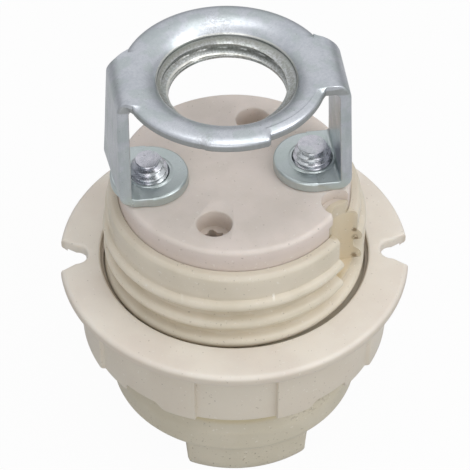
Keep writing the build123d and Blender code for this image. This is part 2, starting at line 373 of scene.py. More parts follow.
class Finish:
    """One material, or the world: its nodes, its place on the surface in millimetres, and its shader."""

    def __init__(self, name, world=None):
        self.material = world or bpy.data.materials.new(name)
        self.material.use_nodes = True
        self.tree = self.material.node_tree
        self.tree.nodes.clear()
        if world:
            return
        place = self.node("ShaderNodeTexCoord", {}, {}, "Object")
        self.place = self.vector("SCALE", place, 1 / MM)
        self.x, self.y, self.z = (
            self.node("ShaderNodeSeparateXYZ", {}, {0: self.place}, axis) for axis in ("X", "Y", "Z")
        )
        self.radius = (self.x * self.x + self.y * self.y) ** 0.5

    def node(self, kind, settings, inputs, output=0):
        """Adds a node: its settings first, then the values or links of its sockets."""
        new = self.tree.nodes.new(kind)
        for key, value in settings.items():
            if key == "stops":
                ramp = new.color_ramp.elements
                while len(ramp) < len(value):
                    ramp.new(0.5)
                for element, (position, colour) in zip(ramp, value):
                    element.position = position
                    element.color = (*colour, 1) if len(colour) == 3 else colour
            else:
                setattr(new, key, value)
        for key, value in inputs.items():
            if isinstance(value, Field):
                self.tree.links.new(value.socket, new.inputs[key])
            else:
                new.inputs[key].default_value = value
        return None if output is None else Field(self, new.outputs[output])

    def vector(self, operation, a, b):
        """Vector sums: SCALE takes a number, the others a vector."""
        second = 3 if operation == "SCALE" else 1
        return self.node("ShaderNodeVectorMath", {"operation": operation}, {0: a, second: b})

    def step(self, value, low, high):
        """Smooth step of a value between two limits."""
        return self.node(
            "ShaderNodeMapRange",
            {"interpolation_type": "SMOOTHSTEP"},
            {"Value": value, "From Min": low, "From Max": high},
        )

    def between(self, value, start, full, last, end):
        """1 from full to last, falling smoothly to 0 at start and at end."""
        return self.step(value, start, full) * (1 - self.step(value, last, end))

    def mottle(self, size, detail=3.0, rough=0.5, stretch=(1, 1, 1), shift=0.0):
        """Cloudy noise with lumps of about the given size in millimetres, round 0.5."""
        place = self.vector("MULTIPLY", self.place, (stretch[0], stretch[1], stretch[2]))
        place = self.vector("ADD", place, (shift, shift, shift))
        return self.node(
            "ShaderNodeTexNoise", {},
            {"Vector": place, "Scale": 1 / size, "Detail": detail, "Roughness": rough},
        )

    def near(self, point, inner, outer):
        """1 at a point in millimetres, falling to 0 between two distances from it."""
        away = self.node(
            "ShaderNodeVectorMath", {"operation": "DISTANCE"}, {0: self.place, 1: point}, "Value"
        )
        return 1 - self.step(away, inner, outer)

    def near_any(self, places):
        """Sum of near() over places, each given with its two distances."""
        return sum(self.near(*place) for place in places)

    def mix(self, share, a, b):
        """Colour a where the share is 0, and colour b where it is 1."""
        return self.node(
            "ShaderNodeMix", {"data_type": "RGBA"}, {0: share, 6: a, 7: b}, 2
        )

    def relief(self, height, depth, under=None):
        """Normal for a height field whose value 1 stands for a depth in millimetres."""
        inputs = {"Height": height, "Distance": depth * MM, "Strength": 1.0}
        if under is not None:
            inputs["Normal"] = under
        return self.node("ShaderNodeBump", {}, inputs)

    def close(self, sockets):
        """Ends the finish with its shader."""
        shader = self.node("ShaderNodeBsdfPrincipled", {}, sockets)
        self.node("ShaderNodeOutputMaterial", {}, {"Surface": shader}, None)
        return self.material


# Threaded body

def thread_radius(height, angle):
    """Radius of the outer thread at a height and an angle in degrees: rounded ridges on a plain core, which
    widens to the plain band above the first ridge and to a narrow floor in the gap below the ring's top."""
    crest = CREST_AT_ZERO + PITCH * angle / 360
    first = crest - PITCH * smooth(84, 96, angle)
    away = abs((height - crest + PITCH / 2) % PITCH - PITCH / 2)
    if away < CREST_HALF:
        ridge = CREST_R - CREST_FALL * (away / CREST_HALF) ** 2
    else:
        ridge = CREST_R - CREST_FALL - FLANK_SLOPE * (away - CREST_HALF)
    ridge = blend(CORE_R - 0.3, ridge, smooth(THREAD_BOTTOM, THREAD_BOTTOM + 0.35, height))
    ridge = blend(ridge, BAND_R - 0.3, smooth(THREAD_TOP - 0.3, THREAD_TOP, height))
    core = blend(CORE_R, BAND_R, smooth(first + 0.2, first + 0.45, height))
    gap_floor = smooth(GAP_FLOOR_TOP, GAP_FLOOR_TOP - 0.2, height)
    gap_floor *= smooth(GAP_FLOOR_BOTTOM, GAP_FLOOR_BOTTOM + 0.1, height)
    return larger(blend(core, GAP_FLOOR_R, gap_floor), ridge, 0.06)


def body_profile(angle):
    """Outside of the body at one angle, from the nose's end face up to the lip."""
    side = abs(cos(radians(angle))) + 1e-6
    points = []
    for h in (0.0, 0.03, 0.1, 0.2, 0.3, NOSE_EDGE, 1.2, 2.1, NOSE_TOP - 0.02):
        inset = (NOSE_TOP - h) * tan(radians(NOSE_DRAFT))
        if h < NOSE_EDGE:
            inset += NOSE_EDGE - sqrt(NOSE_EDGE ** 2 - (NOSE_EDGE - h) ** 2)
        points.append((smaller(NOSE_R - inset, (NOSE_HALF_WIDTH - inset) / side, 0.02), h))
    nose = points[-1][0]
    for r, h in arc((SHOULDER_R - SHOULDER_EDGE, NOSE_TOP + SHOULDER_EDGE), SHOULDER_EDGE, -90, 0, 8):
        points.append((max(r, nose), h))
    points += [(SHOULDER_R, h) for h in (4.3, 4.8, 5.2)]
    points += [(SHOULDER_R - 0.03, SHOULDER_TOP), (SHOULDER_R - 0.1, SHOULDER_TOP + 0.2)]
    points += [(CORE_R + 0.05, CONE_TOP - 0.15), (CORE_R, CONE_TOP + 0.1), (CORE_R, 7.3)]
    height = THREAD_BOTTOM - 0.1
    while height < THREAD_TOP + 0.02:
        points.append((thread_radius(height, angle), height))
        height += 0.1 if height > 14.8 else 0.2
    points += [(BAND_R, h) for h in (22.1, 22.5)]
    points += arc((BAND_R - LIP_EDGE, BODY_TOP - LIP_EDGE), LIP_EDGE, 0, 90, 9)
    return points


def groove_plan(angle, half, floor, reach=13.0):
    """Plan of a round-bottomed slot that runs from far outside, or from its reach, in to the floor radius."""
    middle = floor + half
    bite = degrees(acos(min(0.0, (reach - middle) / half))) - 90
    outline = []
    for a in spread(90 + bite, 270 - bite, 25):
        outline.append((middle + half * cos(radians(a)), half * sin(radians(a))))
    if reach > middle:
        outline += [(reach, -half), (reach, half)]
    c = cos(radians(angle))
    d = sin(radians(angle))
    return [(x * c - y * d, x * d + y * c) for x, y in outline]


def bore_cutter(side, radius, low, high):
    return turned("bore", [(radius, low), (radius, high)], 48, middle=(side * SCREW_X, 0))


def threaded_body():
    columns = angles_with(1.25, (KEYWAY_ANGLE, 13, 0.4))
    profiles = [body_profile(a if a < 180 else a - 360) for a in columns]
    body = swept("threaded_body.moulding", columns, profiles)

    flare = [(POCKET_R, CAP_SEAT), (POCKET_R, BODY_TOP - LIP_INNER_EDGE), (POCKET_R + 0.04, BODY_TOP - 0.05)]
    flare += [(POCKET_R + LIP_INNER_EDGE, BODY_TOP), (POCKET_R + 0.8, BODY_TOP + 0.6)]
    hollow = turned("pocket", flare, 192)
    cutters = []
    cutters.append(prism("cavity", rounded_box(3.0, 7.6, 0.8), -1.0, 11.0))
    for end in (-1, 1):
        cutters.append(prism("cavity_end", rounded_box(3.4, 2.1, 0.8, (0, end * 5.5)), -1.1, 10.98))
        cutters.append(prism("pin_slot", rounded_box(1.3, 1.7, 0.5, (0, end * 4.5)), 10.0, 13.0))
        cutters.append(prism("chamber", rounded_box(3.8, 2.35, 0.5, (0, end * CHAMBER_Y)), 12.2, 22.0))
        cutters.append(bore_cutter(end, SCREW_HOLE_R, SCREW_SEAT, 22.1))
        cutters.append(bore_cutter(end, SCREW_RECESS_R, -1.0, SCREW_SEAT))
    combined(hollow, cutters, "UNION")
    combined(body, [hollow], "DIFFERENCE")
    rib = groove_plan(KEYWAY_ANGLE, KEYWAY_HALF + 0.25, KEYWAY_FLOOR - 0.5, 8.9)
    combined(body, [prism("key_rib", rib, CAP_SEAT - 0.5, KEYWAY_RIB_TOP)], "UNION")
    bridge = groove_plan(KEYWAY_ANGLE, KEYWAY_HALF + 0.2, KEYWAY_FLOOR - 0.4, 9.45)
    combined(body, [prism("key_bridge", bridge, CAP_SEAT - 0.4, BODY_TOP - 0.14)], "UNION")
    groove = groove_plan(KEYWAY_ANGLE, KEYWAY_HALF, KEYWAY_FLOOR)
    return combined(body, [prism("keyway", groove, KEYWAY_BOTTOM, BODY_TOP + 2)], "DIFFERENCE")


# Terminal cap

def conductor_outline():
    """Plan of the opening under a wire hole: a round slot whose straight back edge has a small bay."""
    points = [polar(CONDUCTOR_R, a) for a in spread(-190, 10, 21)]
    for x in spread(0.6, -0.6, 13):
        points.append((x, 0.14 + 0.42 * smooth(0.42, 0.12, abs(x + 0.12))))
    return points


def terminal_cap():
    profile = [(CAP_R, CAP_SEAT), (CAP_R, 22.6), (CAP_R, 23.6), (CAP_R, 24.4)]
    profile += arc((CAP_R - 0.38, CAP_TOP - 0.38), 0.38, 0, 90, 8)
    profile += [(8.0, CAP_TOP), (6.0, CAP_TOP), (3.0, CAP_TOP)]
    cap = turned("terminal_cap.moulding", profile, 240)
    cutters = []
    for end in (-1, 1):
        plug = prism("plug", rounded_box(3.65, 2.2, 0.5, (0, end * CHAMBER_Y)), 20.8, 22.0)
        combined(cap, [plug], "UNION")
        place = (-end * WIRE_HOLE[0], -end * WIRE_HOLE[1])
        mouth = [(WIRE_HOLE_R - 0.04, WIRE_HOLE_FLOOR), (WIRE_HOLE_R, 24.4), (WIRE_HOLE_R, 24.97)]
        mouth += [(WIRE_HOLE_R + 0.03, 25.05), (WIRE_HOLE_R + 0.1, 25.105), (WIRE_HOLE_R + 0.4, 25.25)]
        cutters.append(turned("wire_hole", mouth, 64, middle=place))
        opening = [(place[0] - end * x, -end * (CONDUCTOR_Y + y)) for x, y in conductor_outline()]
        cutters.append(prism("conductor_hole", opening, 20.0, 24.0))
        cutters.append(bore_cutter(end, SCREW_HOLE_R, 21.0, 26.0))
    notch = groove_plan(CAP_NOTCH_ANGLE, CAP_NOTCH_HALF, CAP_NOTCH_FLOOR)
    cutters.append(prism("notch", notch, CAP_TOP - CAP_NOTCH_DEPTH, CAP_TOP + 1))
    combined(cap, cutters, "DIFFERENCE")
    key = groove_plan(KEYWAY_ANGLE, KEYWAY_HALF + 0.28, KEYWAY_FLOOR - 0.53)
    combined(cap, [prism("key_gap", key, CAP_SEAT - 1, KEYWAY_RIB_TOP + 0.02)], "DIFFERENCE")
    open_key = groove_plan(KEYWAY_ANGLE, KEYWAY_HALF + 0.02, KEYWAY_FLOOR + 0.02)
    return combined(cap, [prism("open_key", open_key, CAP_SEAT - 1, CAP_TOP + 1)], "DIFFERENCE")


# Shade ring

def skirt_radius(angle):
    """Outside of the grip skirt: plain at front and back, proud pads beside, prouder at the two sides."""
    fold = abs((angle + 90 + 90) % 180 - 90)
    pad = blend(SKIRT_R, PAD_R, smooth(15.3, 15.7, fold))
    return blend(pad, SIDE_R, smooth(59.3, 60.7, fold))


def skirt_bottom(angle):
    """Height of the skirt's lower edge, which steps up over two short stretches at front and back."""
    fold = abs((angle + 90 + 90) % 180 - 90)
    return RING_BOTTOM + 0.6 * smooth(28.0, 32.5, fold) * (1 - smooth(45.6, 46.6, fold))


def ring_section(angle):
    """Closed section of the ring, from the bore's foot up, over the flange and down the skirt."""
    outside = skirt_radius(angle)
    foot = skirt_bottom(angle)
    points = [(RING_BORE_R + 0.25, foot), (RING_BORE_R, foot + 0.25)]
    points += [(RING_BORE_R, h) for h in (10.5, 12.0, 13.5, RING_STEP)]
    points += [(RING_MOUTH_R, RING_STEP + 0.02), (RING_MOUTH_R, RING_STEP + 0.2)]
    points += arc((RING_MOUTH_R + 0.2, RING_TOP - 0.2), 0.2, 180, 90, 7)
    points += [(r, RING_TOP) for r in (11.7, 12.3, 12.9)]
    points += arc((FLANGE_R - FLANGE_EDGE, RING_TOP - FLANGE_EDGE), FLANGE_EDGE, 90, 0, 9)
    points += arc((FLANGE_R - 0.25, FLANGE_UNDER_EDGE + 0.25), 0.25, 0, -80, 5)
    points += [(13.3, blend(FLANGE_UNDER_EDGE, FLANGE_BOTTOM, 0.35)), (outside + 0.22, FLANGE_BOTTOM)]
    points += [(outside + 0.06, FLANGE_BOTTOM - 0.08), (outside, FLANGE_BOTTOM - 0.25)]
    points += [(outside, blend(FLANGE_BOTTOM, foot, s)) for s in (0.25, 0.5, 0.75)]
    points += arc((outside - 0.2, foot + 0.2), 0.2, 0, -90, 5)
    return points


def notch_outline(reach, half_root, half_mouth, corner):
    """Plan of a U notch, open outwards, whose mouth corners flare out to the flange's edge."""
    points = [(16.0, -half_mouth - 1.9), (FLANGE_R + 0.1, -half_mouth - 0.62)]
    for a in spread(80, 10, 6):
        points.append((
            FLANGE_R - 0.45 + 0.5 * sin(radians(a)),
            -half_mouth - 0.52 + 0.5 * cos(radians(a)),
        ))
    for a in spread(-90, -180, 6):
        x, y = polar(corner, a)
        points.append((reach + corner + x, -half_root + corner + y))
    return points + [(x, -y) for x, y in reversed(points)]


def side_recess(low, high):
    """Cutter for the shallow recess in the skirt's side behind a notch, up to a thinner flange."""
    outline = [polar(RECESS_R, a) for a in spread(low, high, 13)]
    outline += [polar(RECESS_REACH, a) for a in spread(high, low, 13)]
    return prism("side_recess", outline, RING_BOTTOM - 1, RECESS_TOP)


def eased_notch():
    """Cutter for one notch of the flange, widening a little towards the top face."""
    rows = [(RING_BOTTOM - 1, 0.0), (RING_TOP - 0.25, 0.0), (RING_TOP - 0.12, 0.035), (RING_TOP - 0.04, 0.11)]
    rows += [(RING_TOP + 0.01, 0.22), (RING_TOP + 0.6, 0.3)]
    rings = []
    for height, wider in rows:
        outline = notch_outline(
            NOTCH_ROOT - wider, NOTCH_ROOT_HALF + wider, NOTCH_MOUTH_HALF + wider, NOTCH_CORNER + wider
        )
        rings.append([(x, y, height) for x, y in outline])
    return skin("notch", [anticlockwise(ring) for ring in rings])


def shade_ring():
    edges = [-90 - 33, -90 - 46, -90 + 33, -90 + 46, 90 - 33, 90 - 46, 90 + 33, 90 + 46]
    steps = [-90 - 15.5, -90 + 15.5, 90 - 15.5, 90 + 15.5, -30, 30, 150, 210]
    columns = angles_with(1.25, *((a, 1.2, 0.2) for a in edges + steps))
    ring = swept("shade_ring.moulding", columns, [ring_section(a) for a in columns], "looped")
    cutters = []
    for angle, low, high in ((-1, -3, 19), (182, 162, 184)):
        cutters.append(side_recess(low, high))
        notch = eased_notch()
        notch.data.transform(Matrix.Rotation(radians(angle), 4, "Z"))
        cutters.append(notch)
    combined(ring, cutters, "DIFFERENCE")
    ring.data.transform(Matrix.Rotation(radians(RING_TURN), 4, "Z"))
    return ring


# Mounting bracket

def leaning(piece):
    """Shifts what stands above the cap, as the bracket was screwed on: leftwards, and its feet forwards."""
    for point in piece.data.vertices:
        height = point.co.z - CAP_TOP
        if height > -1.0:
            point.co.x -= LEAN_FOOT * smooth(-1.0, 0.0, height) + LEAN_RISE * max(0.0, height)
            point.co.y -= LEAN_FRONT * smooth(-1.0, 0.0, height) * (1 - smooth(2.0, 8.5, height))
    return piece


def eyelet_outline(angle):
    """Outer radius of the eyelet plate: a stub of its carrier strip stands proud at the front, the right
    front is punched closer, and it is straight where the two strips bend away."""
    turn = (angle + 180) % 360 - 180
    stub = smooth(-109.5, -107.5, turn) * (1 - smooth(-74.0, -72.5, turn))
    close = smooth(-74.0, -72.5, turn) * (1 - smooth(-26, -12, turn))
    radius = EYELET_R + 0.1 * stub - 0.4 * close - 0.05 * close * smooth(-60, -40, turn)
    fold = abs((angle + 90) % 180 - 90)
    return min(radius, (BEND_START + 0.04) / max(cos(radians(fold)), 0.2))


def bore_thread(height, angle):
    """How far the M10 thread's ridges stand into the collar, at a height and an angle. The lowest part is
    plain, and above the last ridge the tap's run-out leaves a shallow hollow."""
    turn = (height / M10_PITCH - angle / 360 + 0.65) % 1.0
    ridge = min(1.0, max(0.0, 1.1 - abs(turn - 0.5) / 0.27))
    ridge = max(ridge, 1 - smooth(32.98, 33.12, height))
    above = height - M10_LAST_CREST
    run_out = 0.1 * smooth(0.02, 0.12, above) * (1 - smooth(0.16, 0.34, above))
    return (BORE_WALL_R - BORE_R) * ridge * (1 - smooth(0.0, 0.12, above)) - run_out


def eyelet_section(angle):
    """Closed section of the eyelet: up the threaded collar, over the mouth, round the rim and back."""
    under = EYELET_TOP - SHEET
    reach = MOUTH_R - BORE_WALL_R
    points = [(BORE_R + 0.22, COLLAR_END), (BORE_R + 0.05, COLLAR_END + 0.08)]
    height = COLLAR_END + 0.12
    start = EYELET_TOP - COLLAR_DROP
    while height < EYELET_TOP - 0.62:
        rise = max(0.0, height - start) / COLLAR_DROP
        wall = MOUTH_R - reach * sqrt(1 - rise * rise)
        points.append((wall - bore_thread(height, angle), height))
        height += 0.05
    low = degrees(asin((height - start) / COLLAR_DROP))
    for a in spread(180 - low, 90, 12):
        points.append((MOUTH_R + reach * cos(radians(a)), start + COLLAR_DROP * sin(radians(a))))
    outside = eyelet_outline(angle)
    free = smooth(21.0, 26.0, abs((angle + 90) % 180 - 90))
    wide = 0.04 + 0.85 * free
    deep = 0.003 + 0.36 * free
    for a in spread(90, 8, 11):
        points.append((
            outside - wide + wide * cos(radians(a)),
            EYELET_TOP - deep + deep * sin(radians(a)),
        ))
    points += [(outside, EYELET_TOP - 0.42), (outside, under + 0.2), (outside - 0.03, under + 0.06)]
    points += [(outside - 0.1, under), (MOUTH_R + 0.25, under)]
    back = BORE_R + SHEET
    for a in spread(90, 180, 9):
        points.append((
            MOUTH_R + (MOUTH_R - back) * cos(radians(a)),
            under - 0.5 + 0.5 * sin(radians(a)),
        ))
    points += [(back, 33.5), (back, COLLAR_END + 0.1), (back - 0.1, COLLAR_END)]
    return points


def strip_path(side):
    """Middle line of one strip as (x, z, direction angle, half width), from the eyelet to the foot."""
    half = SHEET / 2
    out = LEG_BEND_R[side] + half
    back = FOOT_BEND_R + half
    leg = LEG_OUTSIDE[side] - half
    top = (leg - out, EYELET_TOP - half - out)
    low = (leg - back, FOOT_TOP + FOOT_BEND_R)
    path = [(x, EYELET_TOP - half - 0.003, 0.0) for x in spread(BEND_START - 0.25, top[0] - 0.08, 4)]
    for a in spread(90, 0, 13):
        path.append((top[0] + out * cos(radians(a)), top[1] + out * sin(radians(a)) - 0.003, a - 90))
    path += [(leg, z, -90.0) for z in (33.0, 32.0, 30.5, 29.0, 27.6, 26.8)]
    for a in spread(0, -90, 9):
        path.append((low[0] + back * cos(radians(a)), low[1] + back * sin(radians(a)), a - 90))
    path += [(7.2, FOOT_TOP - half, -180.0), (SCREW_X, FOOT_TOP - half, -180.0)]
    rise = EYELET_TOP - FOOT_TOP
    return [
        (x, z, turn, blend(STRIP_HALF, STRIP_TOP_HALF, min(1, max(0, (z - FOOT_TOP) / rise))))
        for x, z, turn in path
    ]


def leg_shift(side, across, height, turn):
    """How far out a point of a leg stands from its middle line: the left leg opens to the back and down."""
    if side > 0:
        return 0.0
    down = min(1.0, max(0.0, (34.5 - height) / 8.5))
    share = smooth(0.0, 90.0, -turn) * (1 - smooth(120.0, 179.0, -turn))
    return (0.36 * down + (0.35 + 0.42 * down) * (across + 2.9) / 6.0) * share


def strip(side):
    """One strip, drawn on the +X side, as a swept section with eased edges. Its back edge flares into the
    eyelet."""
    edge = 0.24
    half = SHEET / 2
    rings = []
    for x, z, turn, plain_width in strip_path(side):
        flare = 0.3 * (1 - smooth(0.0, 75.0, -turn))
        if turn > -60:
            flare += 0.42 * max(0.0, (EYELET_R - x) / 0.9) ** 2
        start_flare = 0.3 if side < 0 else 0.1
        section = []
        for sy, sn, start in ((1, 1, 0), (-1, 1, 90), (-1, -1, 180), (1, -1, 270)):
            ease = edge * smooth(-5.0, 40.0, -turn) + 0.03 if sn > 0 else 0.1
            half_width = plain_width
            half_width += flare if sy == side else start_flare * (1 - smooth(0.0, 40.0, -turn))
            for a in spread(start, start + 90, 5):
                section.append((
                    sy * (half_width - ease) + ease * cos(radians(a)),
                    sn * (half - ease) + ease * sin(radians(a)),
                ))
        t = radians(turn)
        rings.append([
            (x - n * sin(t) + leg_shift(side, y * side, z, turn), y, z + n * cos(t)) for y, n in section
        ])
    return skin("strip", rings)


def mounting_bracket():
    columns = angles_with(1.5, (0, 24, 0.75), (180, 24, 0.75))
    bracket = swept("mounting_bracket.sheet", columns, [eyelet_section(a) for a in columns], "looped")
    holes = []
    for end in (1, -1):
        piece = strip(end)
        round_end = [(STRIP_HALF - 0.12, CAP_TOP + 0.002), (STRIP_HALF - 0.002, CAP_TOP + 0.1)]
        round_end += [(STRIP_HALF - 0.002, FOOT_TOP - 0.26)]
        round_end += arc((STRIP_HALF - 0.242, FOOT_TOP - 0.242), 0.24, 10, 90, 7)
        foot = turned("foot", round_end, 120, middle=(SCREW_X, 0))
        lip = [(1.96, FOOT_TOP - 0.2), (1.93, FOOT_TOP), (1.83, FOOT_TOP + 0.02), (1.79, FOOT_TOP + 0.07)]
        lip += [(1.73, FOOT_TOP + 0.1), (1.62, FOOT_TOP + 0.1)]
        collar = turned("lip", lip, 96, middle=(SCREW_X, 0))
        combined(piece, [foot, collar], "UNION")
        if end < 0:
            piece.data.transform(Matrix.Rotation(pi, 4, "Z"))
        combined(bracket, [piece], "UNION")
        mouth = [(FOOT_HOLE_R, 24.0), (FOOT_HOLE_R, FOOT_TOP + 0.02)]
        mouth += [(FOOT_HOLE_R + 0.06, FOOT_TOP + 0.11), (FOOT_HOLE_R + 0.24, FOOT_TOP + 0.35)]
        holes.append(turned("hole", mouth, 72, middle=(end * SCREW_X, 0)))
    return leaning(combined(bracket, holes, "DIFFERENCE"))


# Screws

def screw_thread(height, angle):
    turn = (height / SCREW_PITCH - angle / 360) % 1.0
    return SCREW_R - 0.3 * max(0.0, min(1.0, 1.25 - abs(turn - 0.5) / 0.36))


def screw(name, side, tip_radius):
    """Cheese-head screw: slotted head on the lamp side, blunt threaded end up through the foot."""
    head = SCREW_SEAT - SCREW_HEAD_HEIGHT
    columns = [360 * i / 96 for i in range(96)]
    rows = [(1.6, head), (SCREW_HEAD_R - 0.4, head)]
    rows += arc((SCREW_HEAD_R - 0.4, head + 0.4), 0.4, -70, 0, 5)
    rows += [(SCREW_HEAD_R, SCREW_SEAT - 0.08), (SCREW_HEAD_R - 0.08, SCREW_SEAT)]
    rows += [(SCREW_R, SCREW_SEAT + 0.01)]
    rows += [(SCREW_R - 0.02, z) for z in (11.0, 17.0, 24.4)]
    rings = [[(*polar(r, a), z) for a in columns] for r, z in rows]
    height = 24.5
    while height < SCREW_TIP - 0.02:
        taper = (SCREW_R - tip_radius) * smooth(SCREW_TIP - 1.1, SCREW_TIP + 0.35, height) * 1.25
        blunt = tip_radius + 0.02 + 0.9 * (SCREW_TIP - height)
        ring = []
        for a in columns:
            r = smaller(screw_thread(height, a) - taper, blunt, 0.03)
            ring.append((*polar(r, a), height))
        rings.append(ring)
        height += 0.03
    for r in (tip_radius - 0.03, tip_radius - 0.12, 0.55, 0.2):
        rings.append([(*polar(r, a), SCREW_TIP - 0.02 * (r / tip_radius) ** 8) for a in columns])
    piece = skin(name, rings)
    half = SCREW_SLOT_HALF
    slot = prism("slot", [(-3, -half), (3, -half), (3, half), (-3, half)], head - 0.5, head + 0.9)
    combined(piece, [slot], "DIFFERENCE")
    piece.data.transform(Matrix.Translation((side * SCREW_X, 0, 0)))
    return leaning(piece)


# Finishes

def tone(red, green, blue):
    """A colour as seen in the photograph, from 0 to 255, for a shader socket."""
    linear = [v / 255 / 12.92 if v < 10.3 else ((v / 255 + 0.055) / 1.055) ** 2.4 for v in (red, green, blue)]
    return (*linear, 1.0)


def moulded(finish, colour, gloss=0.42, grain=0.004):
    """Ends a satin moulded plastic: faint orange peel, fine grain, a soft sheen and a little light inside."""
    peel = finish.mottle(0.9, detail=2.0, rough=0.4)
    fine = finish.mottle(0.11, detail=3.0, rough=0.6, shift=5.0)
    specks = finish.step(finish.mottle(0.22, detail=1.0, shift=11.0), 0.71, 0.77)
    colour = finish.mix(specks * 0.35, colour, tone(120, 104, 84))
    pale = finish.step(finish.mottle(0.3, detail=1.0, shift=23.0), 0.7, 0.78)
    colour = finish.mix(pale * 0.4, colour, tone(240, 236, 228))
    rough = gloss + 0.22 * (finish.mottle(1.6, detail=4.0, shift=31.0) - 0.5) + 0.1 * (fine - 0.5)
    normal = finish.relief(peel, 0.02)
    normal = finish.relief(fine, grain, normal)
    return finish.close({
        "Base Color": colour,
        "Roughness": rough,
        "Normal": normal,
        "IOR": 1.5,
        "Subsurface Weight": 0.12,
        "Subsurface Radius": (1.0, 0.8, 0.6),
        "Subsurface Scale": 0.0012,
    })


def tick(f, place, inner, outer, narrow, wide):
    """Share of an upright tick on the body's front."""
    return f.near(place, inner, outer) * (1 - f.step(abs(f.x - place[0]), narrow, wide))


def body_marks(f, colour):
    """The body's own marks: nicks in the keyway, scuffs on the shoulder, grains, pale ticks and specks."""
    nicks = f.near_any(KEYWAY_NICKS) * f.step(f.mottle(0.28, detail=1.0, shift=97.0), 0.4, 0.5)
    colour = f.mix(nicks * 0.8, colour, tone(118, 98, 68))
    ledge = f.near(*SHOULDER_SCUFF) * (1 - f.step(abs(f.z - 5.9), 0.12, 0.4))
    dashes = f.step(f.mottle(0.4, detail=2.0, stretch=(1, 1, 2.5), shift=91.0), 0.52, 0.62)
    colour = f.mix(ledge * dashes * 0.5, colour, tone(148, 134, 112))
    grains = f.step(f.mottle(0.28, detail=1.0, shift=95.0), 0.68, 0.74) * (1 - f.step(f.z, 2.5, 6.5))
    colour = f.mix(grains * 0.5, colour, tone(132, 118, 94))
    ticks = tick(f, *WIDE_TICK) + 0.6 * tick(f, *FAINT_TICK)
    colour = f.mix(ticks * 0.7, colour, tone(246, 242, 232))
    return f.mix(f.near_any(THREAD_SPECKS) * 0.7, colour, tone(120, 100, 76))


def body_plastic():
    """Natural plastic, with painted shade: browner in the thread's valleys (there also dirt), under the ring,
    on the plain band, below the skirt and on the nose; yellow in the keyway, with painted shading across its
    wall.
    """
    f = Finish("natural moulded body")
    cloud = f.mottle(4.5, detail=4.0)
    colour = f.mix(f.step(cloud, 0.35, 0.68), tone(226, 217, 199), tone(213, 204, 184))
    # painted shade and dirt: browner in the thread's valleys above the ring
    groove = (1 - f.step(f.radius, 9.75, 10.3)) * f.between(f.z, 15.4, 16.2, 20.9, 21.3)
    colour = f.mix(groove * 0.3, colour, tone(190, 172, 140))
    # painted shade: browner on the body under the ring and in the gap below its flange
    deep = f.between(f.z, 8.6, 9.4, 15.2, 16.4)
    colour = f.mix(deep * 0.3, colour, tone(160, 140, 108))
    # painted shade: the plain band between the lip and the first ridge darker
    plain = f.between(f.z, 20.4, 21.6, 22.0, 23.1)
    colour = f.mix(plain * 0.35, colour, tone(208, 198, 180))
    turn = radians(KEYWAY_ANGLE)
    out = f.x * cos(turn) + f.y * sin(turn)
    across = f.y * cos(turn) - f.x * sin(turn)
    # yellow keyway wall, with painted shading: darker on one side of the groove, lighter on the other
    wall = f.between(out, 7.0, 7.6, 9.3, 9.8) * f.step(f.z, 17.5, 18.2)
    wall = wall * (1 - f.step(abs(across), 1.8, 1.95))
    yellow_with_painted_shading = f.mix(f.step(across, -0.9, 0.9), tone(192, 173, 130), tone(220, 206, 178))
    colour = f.mix(wall * 0.85, colour, yellow_with_painted_shading)
    lip = f.step(f.z, 22.9, 23.15)
    colour = f.mix(lip * 0.5, colour, tone(205, 196, 180))
    # painted shade: the nose below the ring darker
    nose = 1 - f.step(f.z, 6.0, 8.0)
    colour = f.mix(nose * 0.5, colour, tone(199, 193, 172))
    # painted shadow: a yellow-brown band on the body just below the skirt's lower edge
    under_skirt_shadow = f.between(f.z, 6.0, 6.5, 8.5, 9.5)
    colour = f.mix(under_skirt_shadow * 0.5, colour, tone(202, 184, 132))
    return moulded(f, body_marks(f, colour), gloss=0.4)


def cap_plastic():
    f = Finish("pinkish moulded cap")
    cloud = f.mottle(3.5, detail=5.0, rough=0.55)
    colour = f.mix(f.step(cloud, 0.35, 0.66), tone(228, 217, 208), tone(218, 208, 198))
    side = (1 - f.step(f.z, 24.5, 24.95)) * f.step(f.radius, 8.7, 8.95)
    colour = f.mix(side * 0.5, colour, tone(224, 210, 203))
    # painted shade: darker down the wire holes, in the notch and on the cap below its top face
    holes = 1 - f.step(f.z, 23.9, 24.9)
    colour = f.mix(holes * 0.2, colour, tone(184, 168, 150))
    return moulded(f, colour, gloss=0.46, grain=0.006)


def ring_plastic():
    f = Finish("pale moulded ring")
    cloud = f.mottle(5.0, detail=4.0)
    colour = f.mix(f.step(cloud, 0.35, 0.68), tone(232, 225, 213), tone(224, 215, 203))
    # painted shade: the flange's outer rim, below its top face, darker
    edge = f.step(f.radius, 13.5, 13.9) * (1 - f.step(f.z, 16.1, 16.4))
    colour = f.mix(edge * 0.6, colour, tone(200, 189, 172))
    nick = f.near(*FLANGE_NICK) * f.step(f.mottle(0.3, detail=1.0, shift=93.0), 0.4, 0.5)
    colour = f.mix(nick * 0.7, colour, tone(250, 247, 240))
    # painted shade: the skirt under the flange darker
    skirt = 1 - f.step(f.z, 14.2, 15.0)
    colour = f.mix(skirt * 0.45, colour, tone(208, 198, 176))
    # painted shade: the bore and its mouth, in the gap against the body, darker brown
    bore = 1 - f.step(f.radius, 10.68, 10.8)
    colour = f.mix(bore * 0.6, colour, tone(140, 120, 92))
    return moulded(f, colour, gloss=0.38)


